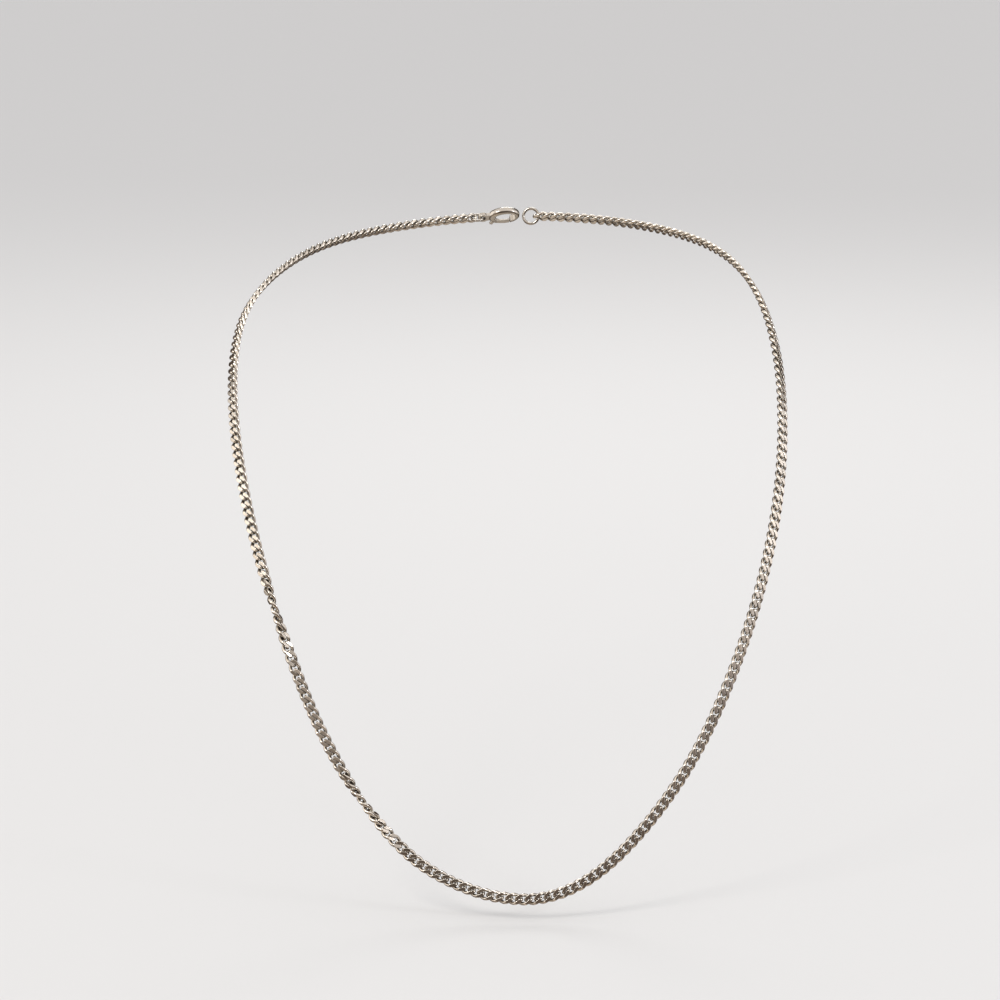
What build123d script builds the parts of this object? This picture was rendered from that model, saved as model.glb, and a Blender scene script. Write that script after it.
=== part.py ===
from build123d import *
import math
import os

os.makedirs("parts", exist_ok=True)

# ---------------------------------------------------------------------------
# Flat curb chain necklace in the shape it takes when worn.
# Millimetres and degrees. +Z is up, the wearer faces -Y, the origin is the
# middle of the lowest link at the front.
# ---------------------------------------------------------------------------

# Curb link: a closed oval of round wire, twisted about the chain's direction,
# then cut flat on both faces.
PITCH = 2.45
WIRE_DIAMETER = 0.88
LINK_HALF_LENGTH = 1.90
LINK_HALF_WIDTH = 1.10
LINK_END_TWIST = -76.0
FLAT_THICKNESS = 1.52

# Number of links on each side of the lowest link.
LEFT_LINKS = 116
RIGHT_LINKS = 114
FRONT_HALF_RUN = 2

# A run of links ends when it has turned this far or holds this many links.
RUN_TURN_LIMIT = 14.0
RUN_LINK_LIMIT = 5

# Worn centreline, from the middle of the front to the nape on each side.
LEFT_LINE = [
    (-9.7, 0.8, 1.1),
    (-18.9, 2.2, 4.2),
    (-27.2, 4.0, 8.9),
    (-34.3, 5.8, 15.4),
    (-46.0, 10.0, 30.7),
    (-54.8, 14.6, 47.6),
    (-61.7, 20.8, 64.8),
    (-67.6, 29.6, 81.2),
    (-72.2, 40.7, 96.7),
    (-75.4, 53.6, 111.2),
    (-76.6, 68.0, 124.3),
    (-74.7, 84.0, 135.4),
    (-67.5, 102.0, 143.5),
    (-53.5, 123.0, 149.0),
    (-32.0, 140.0, 151.5),
]
RIGHT_LINE = [
    (9.6, 0.7, 1.5),
    (18.3, 2.1, 5.9),
    (25.6, 4.3, 11.8),
    (32.3, 6.6, 18.9),
    (43.4, 11.6, 34.2),
    (51.9, 17.4, 50.8),
    (58.6, 25.3, 67.3),
    (63.7, 34.8, 83.8),
    (66.9, 45.5, 99.9),
    (68.1, 57.9, 115.0),
    (67.2, 71.9, 128.7),
    (63.4, 87.0, 140.4),
    (55.2, 105.3, 148.6),
    (41.5, 124.0, 152.0),
    (22.0, 140.0, 153.0),
]
FRONT_POINT = (0.0, 0.0, 0.0)
NAPE_POINT = (-5.0, 147.0, 153.0)

# The links' faces lie on the wearer: outward from the neck and tilted up,
# more steeply on the chest than on the shoulders.
NECK_CENTRE_X = -4.0
NECK_CENTRE_Y = 72.0
BODY_HALF_WIDTH = 95.0
BODY_HALF_DEPTH = 75.0
CHEST_TILT = 0.30
SHOULDER_TILT = 0.95
SHOULDER_HEIGHT = 110.0

# Two places on the left where the chain lies rolled over by half a turn.
ROLL_CENTRES = [19.5, 41.0]
ROLL_LINKS = 12

# Clasp: jump ring, lobster claw with a sprung lever, and the ring it catches.
JUMP_RING_RADIUS = 1.65
JUMP_RING_WIRE = 0.70
JUMP_RING_ROLL = -69.0
CATCH_RING_RADIUS = 2.15
CATCH_RING_WIRE = 0.80
CATCH_RING_ROLL = 60.0
RING_PLAY = 0.35

# The claw lies along X from its eye, flat in XY; its lever closes the +Y side.
CLAW_THICKNESS = 2.2
TAIL_THICKNESS = 1.1
EYE_RADIUS = 0.80
TAIL_RADIUS = 1.50
NECK_LENGTH = 2.8
NECK_WIDTH = 2.2
BOW_CENTRE = 6.0
BOW_HALF_LENGTH = 4.4
BOW_HALF_WIDTH = 2.9
BOW_ROUNDING = 0.85
HOLLOW_CENTRE = 6.3
HOLLOW_HALF_LENGTH = 3.1
HOLLOW_HALF_WIDTH = 1.75
MOUTH_START = 3.75
MOUTH_FLOOR = 0.9
MOUTH_REACH = 4.6
PIVOT = (3.1, 1.35)
SLOT_WIDTH = 1.35
SLOT_RADIUS = 1.0
LEVER_PLAY = 0.10
LEVER_BOTTOM = -0.60
LEVER_THICKNESS = 0.65
LEVER_BOSS_RADIUS = 0.62
THUMB_TAB_LENGTH = 1.9
THUMB_TAB_WIDTH = 0.9
THUMB_TAB_ANGLE = 125.0
PIN_RADIUS = 0.30
PIN_PLAY = 0.04
SPRING_WIRE = 0.16
SPRING_RADIUS = 0.46
SPRING_PITCH = 0.17
SPRING_TURNS = 2
SPRING_START = 0.18


def unit(vector):
    return vector * (1 / vector.length)


def tangent_meeting(start, start_direction, end, end_direction):
    """Where two arcs, one leaving start and one arriving at end, meet smoothly."""
    gap = end - start
    both = start_direction + end_direction
    square = both.dot(both) - 4
    linear = -2 * gap.dot(both)
    root = math.sqrt(linear**2 - 4 * square * gap.dot(gap))
    reach = (-linear - root) / (2 * square)
    start_corner = start + start_direction * reach
    end_corner = end - end_direction * reach
    return (start_corner + end_corner) * 0.5, unit(end_corner - start_corner)


# One link. Each quarter of its wire is two arcs, from the tip of the oval to
# the middle of its long side; half the loop is swept and turned half round.
twist = math.radians(LINK_END_TWIST)
tip = Vector(LINK_HALF_LENGTH, 0, 0)
tip_direction = Vector(0, math.cos(twist), math.sin(twist))
side_point = Vector(0, LINK_HALF_WIDTH, 0)
side_direction = unit(Vector(-LINK_HALF_LENGTH, 0, -LINK_HALF_WIDTH * twist))
meeting, meeting_direction = tangent_meeting(
    tip, tip_direction, side_point, side_direction
)
far_meeting = Vector(-meeting.X, meeting.Y, -meeting.Z)
far_direction = Vector(meeting_direction.X, -meeting_direction.Y, meeting_direction.Z)
with BuildPart() as link:
    with BuildLine() as half_loop:
        TangentArc(tip, meeting, tangent=tip_direction)
        TangentArc(meeting, side_point, tangent=meeting_direction)
        TangentArc(side_point, far_meeting, tangent=side_direction)
        TangentArc(far_meeting, -tip, tangent=far_direction)
    with BuildSketch(Plane(origin=tip, z_dir=tip_direction)):
        Circle(WIRE_DIAMETER / 2)
    sweep()
    add(link.part, rotation=(0, 0, 180))
    Box(4 * LINK_HALF_LENGTH, 4 * LINK_HALF_WIDTH, FLAT_THICKNESS, mode=Mode.INTERSECT)

# The worn centreline: one closed curve, walked by length from the front.
with BuildLine() as worn_line:
    Spline(
        [FRONT_POINT] + RIGHT_LINE + [NAPE_POINT] + LEFT_LINE[::-1],
        periodic=True,
    )
LINE = worn_line.line.edges()[0]
LINE_LENGTH = LINE.length


def line_point(distance):
    """Centreline point, a signed length from the front: right is positive."""
    return LINE.position_at(distance % LINE_LENGTH, position_mode=PositionMode.LENGTH)


def line_direction(distance):
    return LINE.tangent_at(distance % LINE_LENGTH, position_mode=PositionMode.LENGTH)


def roll_at(distance):
    """Extra roll of the chain about its own line, in degrees."""
    links_left = -distance / PITCH
    roll = 0.0
    for centre in ROLL_CENTRES:
        share = (links_left - centre) / ROLL_LINKS + 0.5
        roll -= 180.0 * min(max(share, 0.0), 1.0)
    return roll


def rolled(plane, degrees):
    """The plane turned about its own X direction."""
    angle = math.radians(degrees)
    normal = plane.z_dir * math.cos(angle) - plane.y_dir * math.sin(angle)
    return Plane(origin=plane.origin, x_dir=plane.x_dir, z_dir=normal)


def station(distance):
    """Plane on the centreline: X along the chain, Z out of its face."""
    point = line_point(distance)
    along = line_direction(distance)
    height_share = min(max(point.Z / SHOULDER_HEIGHT, 0.0), 1.0)
    outward = unit(
        Vector(
            (point.X - NECK_CENTRE_X) / BODY_HALF_WIDTH**2,
            (point.Y - NECK_CENTRE_Y) / BODY_HALF_DEPTH**2,
            0,
        )
    )
    tilt = CHEST_TILT + (SHOULDER_TILT - CHEST_TILT) * height_share
    face = outward + Vector(0, 0, tilt)
    face = unit(face - along * face.dot(along))
    return rolled(Plane(origin=point, x_dir=along, z_dir=face), roll_at(distance))


def turn_between(first, second):
    """Angle the chain turns between two places on its line."""
    return line_direction(first).get_angle(line_direction(second))


def runs(side, link_count):
    """Split one side's links into runs; each entry lists link numbers from the front."""
    found = []
    run = []
    turned = 0.0
    for number in range(FRONT_HALF_RUN + 1, FRONT_HALF_RUN + 1 + link_count):
        turn = turn_between(side * (number - 1) * PITCH, side * number * PITCH)
        if run and (turned + turn > RUN_TURN_LIMIT or len(run) == RUN_LINK_LIMIT):
            found.append(run)
            run = []
            turned = 0.0
        turned += turn
        run.append(number)
    found.append(run)
    return found


def build_run(name, distances):
    """A run of neighbouring links, each its own solid."""
    with BuildPart() as run:
        with Locations(*[station(distance) for distance in distances]):
            add(link.part)
    run.part.label = name
    export_step(run.part, f"parts/{name}.step")
    return run.part


FRONT_NUMBERS = range(-FRONT_HALF_RUN, FRONT_HALF_RUN + 1)
build_run("front_links", [number * PITCH for number in FRONT_NUMBERS])
for index, numbers in enumerate(runs(-1, LEFT_LINKS), start=1):
    build_run(f"left_links_{index:02d}", [-number * PITCH for number in numbers])
for index, numbers in enumerate(runs(1, RIGHT_LINKS), start=1):
    build_run(f"right_links_{index:02d}", [number * PITCH for number in numbers])

# Clasp stations behind the neck: the jump ring hangs on the last left link,
# the claw's eye on the jump ring, and the catch ring on the last right link.
LEFT_END = -(FRONT_HALF_RUN + LEFT_LINKS) * PITCH
RIGHT_END = (FRONT_HALF_RUN + RIGHT_LINKS) * PITCH
JUMP_RING_REACH = (
    LINK_HALF_LENGTH + JUMP_RING_RADIUS - (WIRE_DIAMETER + JUMP_RING_WIRE) / 2 - RING_PLAY
)
CATCH_RING_REACH = (
    LINK_HALF_LENGTH + CATCH_RING_RADIUS - (WIRE_DIAMETER + CATCH_RING_WIRE) / 2 - RING_PLAY
)
jump_ring_plane = rolled(station(LEFT_END - JUMP_RING_REACH), JUMP_RING_ROLL)
catch_ring_plane = rolled(station(RIGHT_END + CATCH_RING_REACH), CATCH_RING_ROLL)
eye_distance = LEFT_END - JUMP_RING_REACH - JUMP_RING_RADIUS
eye_point = line_point(eye_distance)
nose_point = line_point(eye_distance - BOW_CENTRE - BOW_HALF_LENGTH)
claw_plane = Plane(
    origin=eye_point,
    x_dir=nose_point - eye_point,
    z_dir=station(eye_distance).z_dir,
)

with BuildPart() as claw_jump_ring:
    with Locations(jump_ring_plane):
        Torus(JUMP_RING_RADIUS, JUMP_RING_WIRE / 2)
claw_jump_ring.part.label = "claw_jump_ring"
export_step(claw_jump_ring.part, "parts/claw_jump_ring.step")

with BuildPart() as catch_ring:
    with Locations(catch_ring_plane):
        Torus(CATCH_RING_RADIUS, CATCH_RING_WIRE / 2)
catch_ring.part.label = "catch_ring"
export_step(catch_ring.part, "parts/catch_ring.step")

# Claw body: a rounded bow and a thinner neck and eye in one casting, with a
# mouth on one side and a slot across the pivot for the lever.
with BuildPart() as claw_body:
    with BuildSketch(claw_plane.offset(-CLAW_THICKNESS / 2)):
        with Locations((BOW_CENTRE, 0)):
            Ellipse(BOW_HALF_LENGTH, BOW_HALF_WIDTH)
    extrude(amount=CLAW_THICKNESS)
    fillet(claw_body.edges().filter_by(GeomType.ELLIPSE), radius=BOW_ROUNDING)
    with BuildSketch(claw_plane.offset(-TAIL_THICKNESS / 2)):
        Circle(TAIL_RADIUS)
        with Locations((NECK_LENGTH / 2, 0)):
            Rectangle(NECK_LENGTH, NECK_WIDTH)
        Circle(EYE_RADIUS, mode=Mode.SUBTRACT)
    extrude(amount=TAIL_THICKNESS)
    with BuildSketch(claw_plane.offset(-CLAW_THICKNESS / 2)):
        with Locations((HOLLOW_CENTRE, 0)):
            Ellipse(HOLLOW_HALF_LENGTH, HOLLOW_HALF_WIDTH)
    extrude(amount=CLAW_THICKNESS, mode=Mode.SUBTRACT)
    with BuildSketch(claw_plane.offset(-CLAW_THICKNESS / 2)):
        with Locations(PIVOT):
            Circle(MOUTH_REACH)
        with Locations((MOUTH_START, MOUTH_FLOOR)):
            Rectangle(
                2 * BOW_HALF_LENGTH,
                2 * BOW_HALF_WIDTH,
                align=(Align.MIN, Align.MIN),
                mode=Mode.INTERSECT,
            )
    extrude(amount=CLAW_THICKNESS, mode=Mode.SUBTRACT)
    with BuildSketch(claw_plane.offset(-SLOT_WIDTH / 2)):
        with Locations(PIVOT):
            Circle(SLOT_RADIUS)
        with Locations((PIVOT[0] - THUMB_TAB_LENGTH, PIVOT[1])):
            Rectangle(
                THUMB_TAB_LENGTH + SLOT_RADIUS,
                2 * BOW_HALF_WIDTH,
                align=(Align.MIN, Align.MIN),
            )
    extrude(amount=SLOT_WIDTH, mode=Mode.SUBTRACT)
    with BuildSketch(claw_plane.offset(-CLAW_THICKNESS / 2)):
        with Locations(PIVOT):
            Circle(PIN_RADIUS + PIN_PLAY)
    extrude(amount=CLAW_THICKNESS, mode=Mode.SUBTRACT)
claw_body.part.label = "claw_body"
export_step(claw_body.part, "parts/claw_body.step")

# Lever: the missing stretch of the bow, a boss on the pin and a thumb tab.
with BuildPart() as claw_lever:
    with BuildSketch(claw_plane.offset(LEVER_BOTTOM)):
        with Locations((BOW_CENTRE, 0)):
            Ellipse(BOW_HALF_LENGTH, BOW_HALF_WIDTH)
        with Locations((HOLLOW_CENTRE, 0)):
            Ellipse(HOLLOW_HALF_LENGTH, HOLLOW_HALF_WIDTH, mode=Mode.SUBTRACT)
        with Locations((PIVOT[0], MOUTH_FLOOR + LEVER_PLAY)):
            Rectangle(
                2 * BOW_HALF_LENGTH,
                2 * BOW_HALF_WIDTH,
                align=(Align.MIN, Align.MIN),
                mode=Mode.INTERSECT,
            )
        with Locations(PIVOT):
            Circle(MOUTH_REACH - LEVER_PLAY, mode=Mode.INTERSECT)
            Circle(LEVER_BOSS_RADIUS)
            with Locations(Rotation(0, 0, THUMB_TAB_ANGLE)):
                Rectangle(
                    THUMB_TAB_LENGTH,
                    THUMB_TAB_WIDTH,
                    align=(Align.MIN, Align.CENTER),
                )
            Circle(PIN_RADIUS + PIN_PLAY, mode=Mode.SUBTRACT)
    extrude(amount=LEVER_THICKNESS)
claw_lever.part.label = "claw_lever"
export_step(claw_lever.part, "parts/claw_lever.step")

with BuildPart() as claw_pin:
    with BuildSketch(claw_plane.offset(-CLAW_THICKNESS / 2)):
        with Locations(PIVOT):
            Circle(PIN_RADIUS)
    extrude(amount=CLAW_THICKNESS)
claw_pin.part.label = "claw_pin"
export_step(claw_pin.part, "parts/claw_pin.step")

# Spring: a short coil round the pin, beside the lever.
with BuildPart() as coil:
    with BuildLine() as coil_line:
        Helix(
            pitch=SPRING_PITCH,
            height=SPRING_PITCH * SPRING_TURNS,
            radius=SPRING_RADIUS,
        )
    with BuildSketch(Plane(origin=coil_line.line @ 0, z_dir=coil_line.line % 0)):
        Circle(SPRING_WIRE / 2)
    sweep()
spring_point = claw_plane.from_local_coords((PIVOT[0], PIVOT[1], SPRING_START))
spring_plane = Plane(
    origin=spring_point,
    x_dir=claw_plane.x_dir,
    z_dir=claw_plane.z_dir,
)
with BuildPart() as claw_spring:
    with Locations(spring_plane):
        add(coil.part)
claw_spring.part.label = "claw_spring"
export_step(claw_spring.part, "parts/claw_spring.step")
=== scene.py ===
import math

import bpy
import numpy as np
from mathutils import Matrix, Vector


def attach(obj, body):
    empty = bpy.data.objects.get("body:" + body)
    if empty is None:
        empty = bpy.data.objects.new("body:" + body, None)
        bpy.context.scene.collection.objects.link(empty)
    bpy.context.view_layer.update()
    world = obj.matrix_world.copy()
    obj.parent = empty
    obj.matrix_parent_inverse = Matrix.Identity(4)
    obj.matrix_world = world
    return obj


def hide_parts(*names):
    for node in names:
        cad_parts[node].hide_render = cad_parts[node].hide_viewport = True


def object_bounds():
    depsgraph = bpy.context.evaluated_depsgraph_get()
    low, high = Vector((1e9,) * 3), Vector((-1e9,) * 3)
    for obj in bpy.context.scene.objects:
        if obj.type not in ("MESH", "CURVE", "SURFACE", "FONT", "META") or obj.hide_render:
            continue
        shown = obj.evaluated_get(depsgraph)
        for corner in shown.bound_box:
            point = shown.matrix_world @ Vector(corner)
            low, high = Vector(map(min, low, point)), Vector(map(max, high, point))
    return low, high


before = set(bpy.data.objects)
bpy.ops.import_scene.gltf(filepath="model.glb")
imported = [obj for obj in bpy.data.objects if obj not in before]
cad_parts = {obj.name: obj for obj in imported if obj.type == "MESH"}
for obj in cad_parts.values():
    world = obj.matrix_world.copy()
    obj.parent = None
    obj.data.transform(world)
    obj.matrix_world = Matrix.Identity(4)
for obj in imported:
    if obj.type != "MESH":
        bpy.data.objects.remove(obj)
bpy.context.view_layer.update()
MM = 0.001

# Link shape in millimetres and radians, the same wire path and flats as the CAD link.
WIRE = 0.88
HALF_LENGTH = 1.90
HALF_WIDTH = 1.10
END_TWIST = math.radians(-76.0)
HALF_THICKNESS = 0.76

# Link mesh: steps along an arc, rows across a flat as shares of its width, and steps round the wire
# between the flats. A flat's rows keep the least half angle; from the cut one it counts as a flat.
ARC_STEPS = 9
FLAT_ROWS = (0.0, 0.15, 0.5, 0.85)
FLAT_STEPS = len(FLAT_ROWS)
ROUND_STEPS = 10
LEAST_SPREAD = 0.12
CUT_SPREAD = 0.16

# CAD corners this close, in millimetres, are one point. Each link's own tone comes from the seed.
SAME_POINT = 0.002
TONE_SEED = 7

# Metal surface, in millimetres: how far the painted shade in a recess reaches, and the depth of its
# marks and lines.
PAINTED_SHADE_REACH = 0.8
MARK_DEPTH = 0.02

# Clasp rings: centreline radius and wire thickness, in millimetres, and their mesh steps.
RINGS = {"claw_jump_ring": (1.65, 0.70), "catch_ring": (2.15, 0.80)}
RING_STEPS, RING_SECTION_STEPS = 96, 24

# Surface of the claw's parts, in millimetres: welding reach, then voxel and passes of the castings.
WELD_REACH = 0.001
CAST_PARTS = ("claw_body", "claw_lever")
CAST_VOXEL = 0.07
CAST_SMOOTHING = 6

# Floor and camera, in metres and degrees, and the lens in millimetres.
FLOOR_HALF = 12
FLOOR_DROP = 0.004
PHOTO_ELEVATION = 13.0
CAMERA_LENS = 127.6
CAMERA_SIDE, CAMERA_LIFT, CAMERA_DISTANCE = -0.0060, 0.1014, 0.900

# The room the metal mirrors is a dim base with soft patches of light on it. A patch is its
# direction, the cosine from that direction where it starts and where it is full, and its colour.
LOBES = [
    ((0.0, -0.25, 1.0), 0.50, 0.85, (1.05, 1.03, 1.00)),
    ((-0.85, -0.45, 0.30), 0.60, 0.95, (0.47, 0.43, 0.385)),
    ((0.90, -0.35, 0.35), 0.62, 0.97, (0.34, 0.32, 0.325)),
    ((0.0, -0.20, -1.0), 0.60, 0.90, (0.55, 0.51, 0.45)),
    ((-0.35, -0.65, -0.65), 0.88, 0.97, (0.24, 0.16, 0.09)),
    ((0.10, 1.0, 0.55), 0.85, 0.98, (0.35, 0.35, 0.36)),
    ((-0.98, 0.05, 0.25), 0.82, 0.93, (1.25, 1.22, 1.16)),
    ((0.98, 0.05, 0.25), 0.82, 0.93, (1.10, 1.10, 1.10)),
]
ROOM_BASE = (0.125, 0.098, 0.078)
ROOM_STRENGTH = 0.75
BACKDROP_STRENGTH = 0.87

# Softboxes: name, place from the middle of the chain, size in metres, watts, tint.
SOFTBOXES = [
    ("key", (-0.55, -0.55, 0.85), 0.30, 2.6, (1.0, 0.97, 0.93)),
    ("fill", (0.75, -0.45, 0.45), 0.22, 1.3, (0.95, 0.97, 1.0)),
    ("back", (0.1, 0.7, 0.6), 0.4, 1.6, (1.0, 1.0, 1.0)),
]


def unit(v):
    """The vector v at length one."""
    return v / np.linalg.norm(v)


def arc_points(start, direction, end, steps):
    """Points and directions of the arc that leaves start along direction and ends at end."""
    chord = end - start
    axis = np.cross(direction, chord)
    normal = unit(np.cross(axis, direction))
    radius = chord @ chord / (2 * (chord @ normal))
    centre = start + normal * radius
    angle = 2 * math.atan2(np.linalg.norm(axis) / np.linalg.norm(chord), unit(chord) @ direction)
    out = []
    for k in range(steps):
        a = angle * k / steps
        point = centre - normal * radius * math.cos(a) + direction * radius * math.sin(a)
        out.append((point, direction * math.cos(a) + normal * math.sin(a)))
    return out


def link_path():
    """The closed wire centreline as two arcs per quarter, and its directions."""
    tip = np.array([HALF_LENGTH, 0, 0])
    tip_way = np.array([0, math.cos(END_TWIST), math.sin(END_TWIST)])
    side = np.array([0, HALF_WIDTH, 0])
    side_way = unit(np.array([-HALF_LENGTH, 0, -HALF_WIDTH * END_TWIST]))
    gap, both = side - tip, tip_way + side_way
    a, b, c = both @ both - 4, -2 * gap @ both, gap @ gap
    reach = (-b - math.sqrt(b * b - 4 * a * c)) / (2 * a)
    first, second = tip + tip_way * reach, side - side_way * reach
    joint, joint_way = (first + second) / 2, unit(second - first)
    far, far_way = joint * [-1, 1, -1], joint_way * [1, -1, 1]
    half = (
        arc_points(tip, tip_way, joint, ARC_STEPS)
        + arc_points(joint, joint_way, side, ARC_STEPS)
        + arc_points(side, side_way, far, ARC_STEPS)
        + arc_points(far, far_way, -tip, ARC_STEPS)
    )
    turn = np.array([-1, -1, 1])
    return half + [(p * turn, w * turn) for p, w in half]


def link_template():
    """Vertices, quads and flat-face flags of one link, in millimetres.

    The rows of a flat crowd its two rims, so that smooth shading gives it softly worn rims.
    """
    path = link_path()
    radius = WIRE / 2
    per_ring = 2 * (FLAT_STEPS + ROUND_STEPS)
    verts, cut = [], []
    for centre, way in path:
        up = np.array([0, 0, 1.0])
        up = unit(up - way * (up @ way))
        across = np.cross(way, up)
        lift = radius * up[2]
        spread = []
        for sign in (1, -1):
            reach = (HALF_THICKNESS - sign * centre[2]) / lift
            spread.append(max(math.acos(min(max(reach, -1), 1)), LEAST_SPREAD))
        between = math.pi - spread[0] - spread[1]
        angles = [-spread[0] + 2 * spread[0] * share for share in FLAT_ROWS]
        angles += [spread[0] + between * k / ROUND_STEPS for k in range(ROUND_STEPS)]
        angles += [math.pi - spread[1] + 2 * spread[1] * share for share in FLAT_ROWS]
        angles += [math.pi + spread[1] + between * k / ROUND_STEPS for k in range(ROUND_STEPS)]
        for a in angles:
            p = centre + radius * (up * math.cos(a) + across * math.sin(a))
            p[2] = min(max(p[2], -HALF_THICKNESS), HALF_THICKNESS)
            verts.append(p)
        cut.append([s > CUT_SPREAD for s in spread])
    rings = len(path)
    quads, flat = [], []
    for i in range(rings):
        j = (i + 1) % rings
        for k in range(per_ring):
            n = (k + 1) % per_ring
            quads.append((i * per_ring + k, i * per_ring + n, j * per_ring + n, j * per_ring + k))
            on_top, on_bottom = k < FLAT_STEPS, 0 <= k - FLAT_STEPS - ROUND_STEPS < FLAT_STEPS
            top_cut, bottom_cut = cut[i][0] or cut[j][0], cut[i][1] or cut[j][1]
            flat.append((on_top and top_cut) or (on_bottom and bottom_cut))
    return np.array(verts), np.array(quads), np.array(flat)


def ring_mesh(radius, wire):
    """Vertices and quads of a round wire ring about the third axis, in millimetres."""
    around, section = RING_STEPS, RING_SECTION_STEPS
    verts, quads = [], []
    for i in range(around):
        a = 2 * math.pi * i / around
        j = (i + 1) % around
        for k in range(section):
            b = 2 * math.pi * k / section
            n = (k + 1) % section
            reach = radius + wire / 2 * math.cos(b)
            verts.append((reach * math.cos(a), reach * math.sin(a), wire / 2 * math.sin(b)))
            quads.append((i * section + k, j * section + k, j * section + n, i * section + n))
    return np.array(verts), np.array(quads)


def solids_of(cad_object):
    """Centre and principal axes (long, wide, thin) of each separate solid in a CAD node."""
    mesh = cad_object.data
    co = np.zeros(len(mesh.vertices) * 3)
    mesh.vertices.foreach_get("co", co)
    co = co.reshape(-1, 3)
    mesh.calc_loop_triangles()
    tris = np.zeros(len(mesh.loop_triangles) * 3, int)
    mesh.loop_triangles.foreach_get("vertices", tris)
    grid = np.round(co / (MM * SAME_POINT)).astype(np.int64)
    _, same = np.unique(grid, axis=0, return_inverse=True)
    same = same.ravel()
    joined = same[tris].reshape(-1, 3)
    label = np.arange(same.max() + 1)
    while True:
        low = label[joined].min(axis=1)
        new = label.copy()
        for k in range(3):
            np.minimum.at(new, joined[:, k], low)
        new = new[new]
        if (new == label).all():
            break
        label = new
    group = label[joined[:, 0]]
    found = []
    for g in np.unique(group):
        t = co[tris.reshape(-1, 3)[group == g]]
        area = np.linalg.norm(np.cross(t[:, 1] - t[:, 0], t[:, 2] - t[:, 0]), axis=1) / 2
        centre = (t.mean(axis=1) * area[:, None]).sum(0) / area.sum()
        t = t - centre
        total = t.sum(axis=1)
        moment = np.einsum("n,ni,nj->ij", area, total, total)
        moment += np.einsum("n,nki,nkj->ij", area, t, t)
        _, axes = np.linalg.eigh(moment)
        long, wide = axes[:, 2], axes[:, 1]
        found.append((centre, np.column_stack([long, wide, np.cross(long, wide)])))
    return found


def mesh_object(name, verts, quads, **face_values):
    """A smooth mesh object in the scene, with a number per face for each named attribute."""
    mesh = bpy.data.meshes.new(name)
    mesh.from_pydata(verts.tolist(), [], quads.tolist())
    mesh.shade_smooth()
    for key, values in face_values.items():
        layer = mesh.attributes.new(key, "FLOAT", "FACE")
        layer.data.foreach_set("value", values.astype(np.float32))
    mesh.update()
    obj = bpy.data.objects.new(name, mesh)
    bpy.context.scene.collection.objects.link(obj)
    return obj


def node(tree, kind, **values):
    """A new node, with each value set on its input of that name or else on the node itself."""
    made = tree.nodes.new(kind)
    for key, value in values.items():
        if key in made.inputs:
            made.inputs[key].default_value = value
        else:
            setattr(made, key, value)
    return made


def remap(tree, source, limits, start=0.0, end=1.0, curve="LINEAR"):
    """A Map Range of source, from the two limits to start and end."""
    ramp = node(tree, "ShaderNodeMapRange", interpolation_type=curve)
    for key, value in zip(("From Min", "From Max", "To Min", "To Max"), (*limits, start, end)):
        ramp.inputs[key].default_value = value
    tree.links.new(source, ramp.inputs["Value"])
    return ramp.outputs["Result"]


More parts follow.
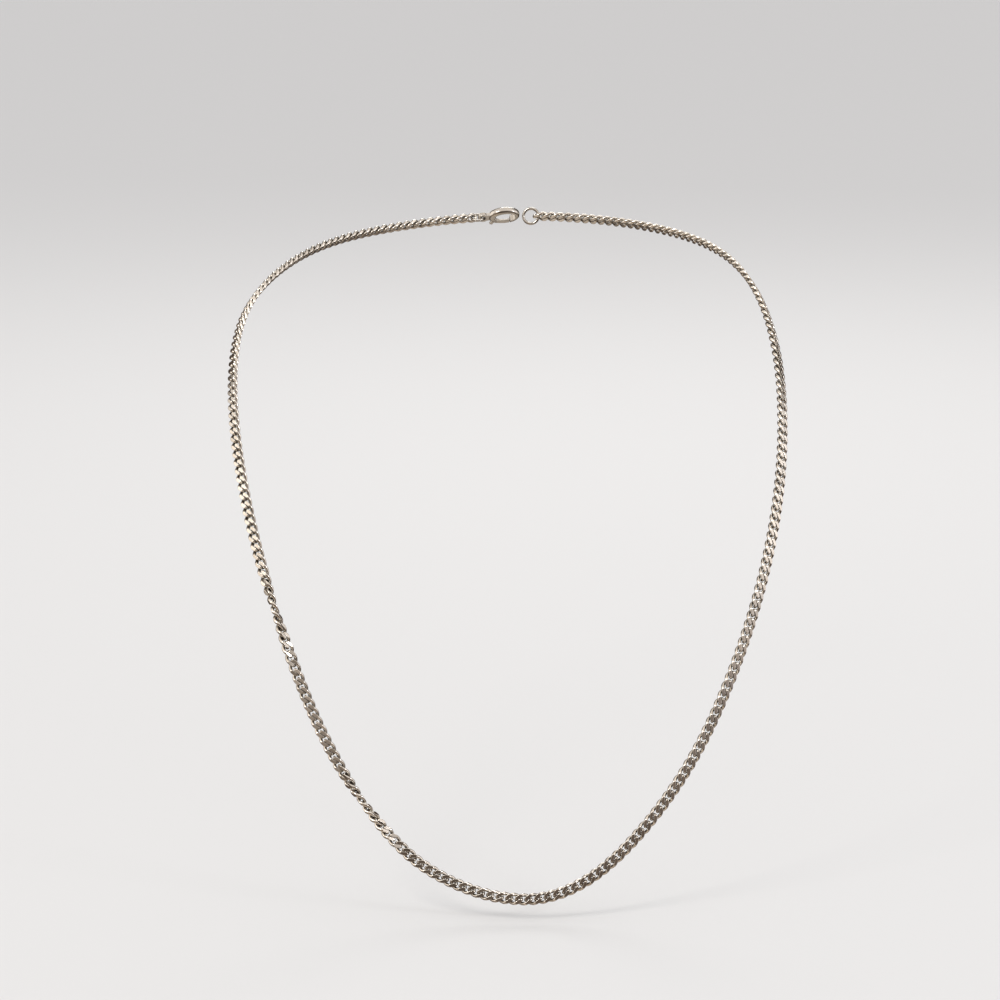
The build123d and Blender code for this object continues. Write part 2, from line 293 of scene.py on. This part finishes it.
def polished_metal(name, light, dark, roughness, flat_roughness, seed):
    """Polished metal: soft tone changes, painted shade in recesses, tumbling marks, fine lines on
    the flats.
    """
    mat = bpy.data.materials.new(name)
    mat.use_nodes = True
    tree = mat.node_tree
    link = tree.links.new
    shader = tree.nodes["Principled BSDF"]
    shader.inputs["Metallic"].default_value = 1.0
    place = node(tree, "ShaderNodeTexCoord")
    to_mm = node(tree, "ShaderNodeMapping")
    to_mm.inputs["Scale"].default_value = (1 / MM,) * 3
    to_mm.inputs["Location"].default_value = (seed, seed * 0.7, seed * 1.3)
    link(place.outputs["Object"], to_mm.inputs["Vector"])

    tone = node(tree, "ShaderNodeTexNoise", Scale=0.35, Detail=3.0)
    link(to_mm.outputs[0], tone.inputs["Vector"])
    tone_mix = node(tree, "ShaderNodeMix", data_type="RGBA")
    tone_mix.inputs["A"].default_value = (*dark, 1)
    tone_mix.inputs["B"].default_value = (*light, 1)
    link(remap(tree, tone.outputs["Fac"], (0.35, 0.62)), tone_mix.inputs["Factor"])
    # Painted shade: ambient occlusion darkens the colour in recesses and between links, down to
    # near black.
    painted_shade_ao = node(tree, "ShaderNodeAmbientOcclusion", samples=4)
    painted_shade_ao.inputs["Distance"].default_value = PAINTED_SHADE_REACH * MM
    tone_and_painted_shade = node(tree, "ShaderNodeMix", data_type="RGBA", blend_type="MULTIPLY")
    tone_and_painted_shade.inputs["Factor"].default_value = 1.0
    own_tone = node(tree, "ShaderNodeAttribute", attribute_name="link_tone")
    shade = node(tree, "ShaderNodeMath", operation="MULTIPLY")
    link(remap(tree, own_tone.outputs["Fac"], (0.0, 1.0), 0.80, 1.04), shade.inputs[0])
    link(remap(tree, painted_shade_ao.outputs["AO"], (0.10, 0.65), 0.08), shade.inputs[1])
    link(tone_mix.outputs["Result"], tone_and_painted_shade.inputs["A"])
    link(shade.outputs[0], tone_and_painted_shade.inputs["B"])
    link(tone_and_painted_shade.outputs["Result"], shader.inputs["Base Color"])

    flat = node(tree, "ShaderNodeAttribute", attribute_name="cut_flat")
    marks = node(tree, "ShaderNodeTexNoise", Scale=9.0, Detail=6.0, Roughness=0.7)
    link(to_mm.outputs[0], marks.inputs["Vector"])
    rough = remap(tree, marks.outputs["Fac"], (0.3, 0.75), roughness * 0.6, roughness * 1.6)
    rough_mix = node(tree, "ShaderNodeMix", data_type="FLOAT")
    link(flat.outputs["Fac"], rough_mix.inputs["Factor"])
    link(rough, rough_mix.inputs["A"])
    rough_mix.inputs["B"].default_value = flat_roughness
    link(rough_mix.outputs["Result"], shader.inputs["Roughness"])

    lines = node(tree, "ShaderNodeTexWave", Scale=7.0, Distortion=1.5)
    link(to_mm.outputs[0], lines.inputs["Vector"])
    height = node(tree, "ShaderNodeMix", data_type="FLOAT")
    link(flat.outputs["Fac"], height.inputs["Factor"])
    link(marks.outputs["Fac"], height.inputs["A"])
    link(lines.outputs["Fac"], height.inputs["B"])
    bump = node(tree, "ShaderNodeBump")
    bump.inputs["Strength"].default_value = 0.12
    bump.inputs["Distance"].default_value = MARK_DEPTH * MM
    link(height.outputs["Result"], bump.inputs["Height"])
    link(bump.outputs["Normal"], shader.inputs["Normal"])
    return mat


chain_metal = polished_metal(
    "chain_metal", (0.93, 0.90, 0.83), (0.80, 0.76, 0.68), 0.14, 0.07, 0.0
)
clasp_metal = polished_metal(
    "clasp_metal", (0.90, 0.88, 0.82), (0.76, 0.73, 0.66), 0.16, 0.16, 4.0
)

# Links: each CAD run is shown as smooth links standing exactly where its solids are.
verts, quads, flat = link_template()
tones = np.random.default_rng(TONE_SEED)
for name, cad in sorted(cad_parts.items()):
    if "_links" not in name:
        continue
    all_verts, all_quads = [], []
    places = solids_of(cad)
    for count, (centre, axes) in enumerate(places):
        all_verts.append((verts * MM) @ axes.T + centre)
        all_quads.append(quads + count * len(verts))
    piece = mesh_object(
        name + "_metal",
        np.vstack(all_verts),
        np.vstack(all_quads),
        cut_flat=np.tile(flat, len(places)),
        link_tone=np.repeat(tones.random(len(places)), len(quads)),
    )
    piece.data.materials.append(chain_metal)
    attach(piece, name)
    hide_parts(name)

# Rings of the clasp: round wire, shown smoother than the CAD facets.
for name, (ring_radius, wire) in RINGS.items():
    centre, axes = solids_of(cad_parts[name])[0]
    ring_verts, ring_quads = ring_mesh(ring_radius, wire)
    piece = mesh_object(name + "_metal", ring_verts * MM @ axes.T + centre, ring_quads)
    piece.data.materials.append(clasp_metal)
    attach(piece, name)
    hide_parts(name)

# Claw, lever, pin and spring keep their CAD shape; the cast claw and lever get soft edges.
for name in ("claw_body", "claw_lever", "claw_pin", "claw_spring"):
    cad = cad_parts[name]
    cad.data.materials.clear()
    cad.data.materials.append(clasp_metal)
    weld = cad.modifiers.new("weld", "WELD")
    weld.merge_threshold = WELD_REACH * MM
    if name in CAST_PARTS:
        cast = cad.modifiers.new("cast surface", "REMESH")
        cast.mode = "VOXEL"
        cast.voxel_size = CAST_VOXEL * MM
        cast.use_smooth_shade = True
        soften = cad.modifiers.new("soft edges", "SMOOTH")
        soften.factor = 0.5
        soften.iterations = CAST_SMOOTHING

# Pale floor, wide enough to fill the view.
low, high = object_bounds()
floor_corners = np.array([(-1, -1, 0), (1, -1, 0), (1, 1, 0), (-1, 1, 0)]) * FLOOR_HALF
floor_corners = floor_corners + [0, 0, low.z - FLOOR_DROP]
floor = mesh_object("floor", floor_corners, np.array([(0, 1, 2, 3)]))
floor_mat = bpy.data.materials.new("floor")
floor_mat.use_nodes = True
floor_shader = floor_mat.node_tree.nodes["Principled BSDF"]
floor_shader.inputs["Base Color"].default_value = (0.72, 0.71, 0.695, 1)
floor_shader.inputs["Roughness"].default_value = 0.9
floor.data.materials.append(floor_mat)
floor.visible_glossy = False

# World: the metal mirrors the room, while the camera and the floor see an even pale backdrop.
world = bpy.data.worlds.new("studio")
bpy.context.scene.world = world
world.use_nodes = True
tree = world.node_tree
tree.nodes.clear()
way = node(tree, "ShaderNodeTexCoord")
clutter = node(tree, "ShaderNodeTexNoise", Scale=2.6, Detail=2.0)
tree.links.new(way.outputs["Generated"], clutter.inputs["Vector"])
mirror = node(tree, "ShaderNodeVectorMath", operation="SCALE")
mirror.inputs[0].default_value = ROOM_BASE
tree.links.new(remap(tree, clutter.outputs["Fac"], (0.35, 0.70), 0.35, 1.8), mirror.inputs["Scale"])
for lobe_way, start, full, shade in LOBES:
    facing = node(tree, "ShaderNodeVectorMath", operation="DOT_PRODUCT")
    facing.inputs[1].default_value = Vector(lobe_way).normalized()
    tree.links.new(way.outputs["Generated"], facing.inputs[0])
    fade = remap(tree, facing.outputs["Value"], (start, full), curve="SMOOTHSTEP")
    glow = node(tree, "ShaderNodeVectorMath", operation="SCALE")
    glow.inputs[0].default_value = shade
    tree.links.new(fade, glow.inputs["Scale"])
    total = node(tree, "ShaderNodeVectorMath", operation="ADD")
    tree.links.new(mirror.outputs[0], total.inputs[0])
    tree.links.new(glow.outputs[0], total.inputs[1])
    mirror = total
hue = node(tree, "ShaderNodeTexNoise", Scale=4.1, Detail=1.0)
tree.links.new(way.outputs["Generated"], hue.inputs["Vector"])
tint = node(tree, "ShaderNodeMix", data_type="RGBA")
tint.inputs["A"].default_value = (1.06, 0.97, 0.86, 1)
tint.inputs["B"].default_value = (0.97, 0.96, 1.04, 1)
tree.links.new(hue.outputs["Fac"], tint.inputs["Factor"])
tinted = node(tree, "ShaderNodeVectorMath", operation="MULTIPLY")
tree.links.new(mirror.outputs[0], tinted.inputs[0])
tree.links.new(tint.outputs["Result"], tinted.inputs[1])
mirrored = node(tree, "ShaderNodeBackground", Strength=ROOM_STRENGTH)
tree.links.new(tinted.outputs[0], mirrored.inputs["Color"])
seen = node(tree, "ShaderNodeBackground", Strength=BACKDROP_STRENGTH)
seen.inputs["Color"].default_value = (0.98, 0.98, 1.0, 1)
rays = node(tree, "ShaderNodeLightPath")
choose = node(tree, "ShaderNodeMixShader")
tree.links.new(rays.outputs["Is Glossy Ray"], choose.inputs["Fac"])
tree.links.new(seen.outputs[0], choose.inputs[1])
tree.links.new(mirrored.outputs[0], choose.inputs[2])
world_out = node(tree, "ShaderNodeOutputWorld")
tree.links.new(choose.outputs[0], world_out.inputs["Surface"])

# Softboxes, placed round the middle of the chain and aimed at it.
middle = (low + high) / 2
for name, place, size, power, tint_colour in SOFTBOXES:
    light = bpy.data.lights.new(name, "AREA")
    light.size, light.energy, light.color = size, power, tint_colour
    lamp = bpy.data.objects.new(name, light)
    bpy.context.scene.collection.objects.link(lamp)
    lamp.location = middle + Vector(place)
    lamp.rotation_euler = (-Vector(place)).to_track_quat("-Z", "Y").to_euler()

# Camera: in front, a little above, at the distance where the chain fills the view.
camera_data = bpy.data.cameras.new("camera")
camera = bpy.data.objects.new("camera", camera_data)
bpy.context.scene.collection.objects.link(camera)
bpy.context.scene.camera = camera
camera_data.sensor_width = 36.0
camera_data.lens = CAMERA_LENS
tilt = math.radians(PHOTO_ELEVATION)
aim = Vector((0, math.cos(tilt), -math.sin(tilt)))
lift = Vector((0, math.sin(tilt), math.cos(tilt)))
camera.location = Vector((CAMERA_SIDE, 0, 0)) + lift * CAMERA_LIFT - aim * CAMERA_DISTANCE
camera.rotation_mode = "QUATERNION"
camera.rotation_quaternion = aim.to_track_quat("-Z", "Y")

bpy.context.scene.view_settings.view_transform = "Standard"
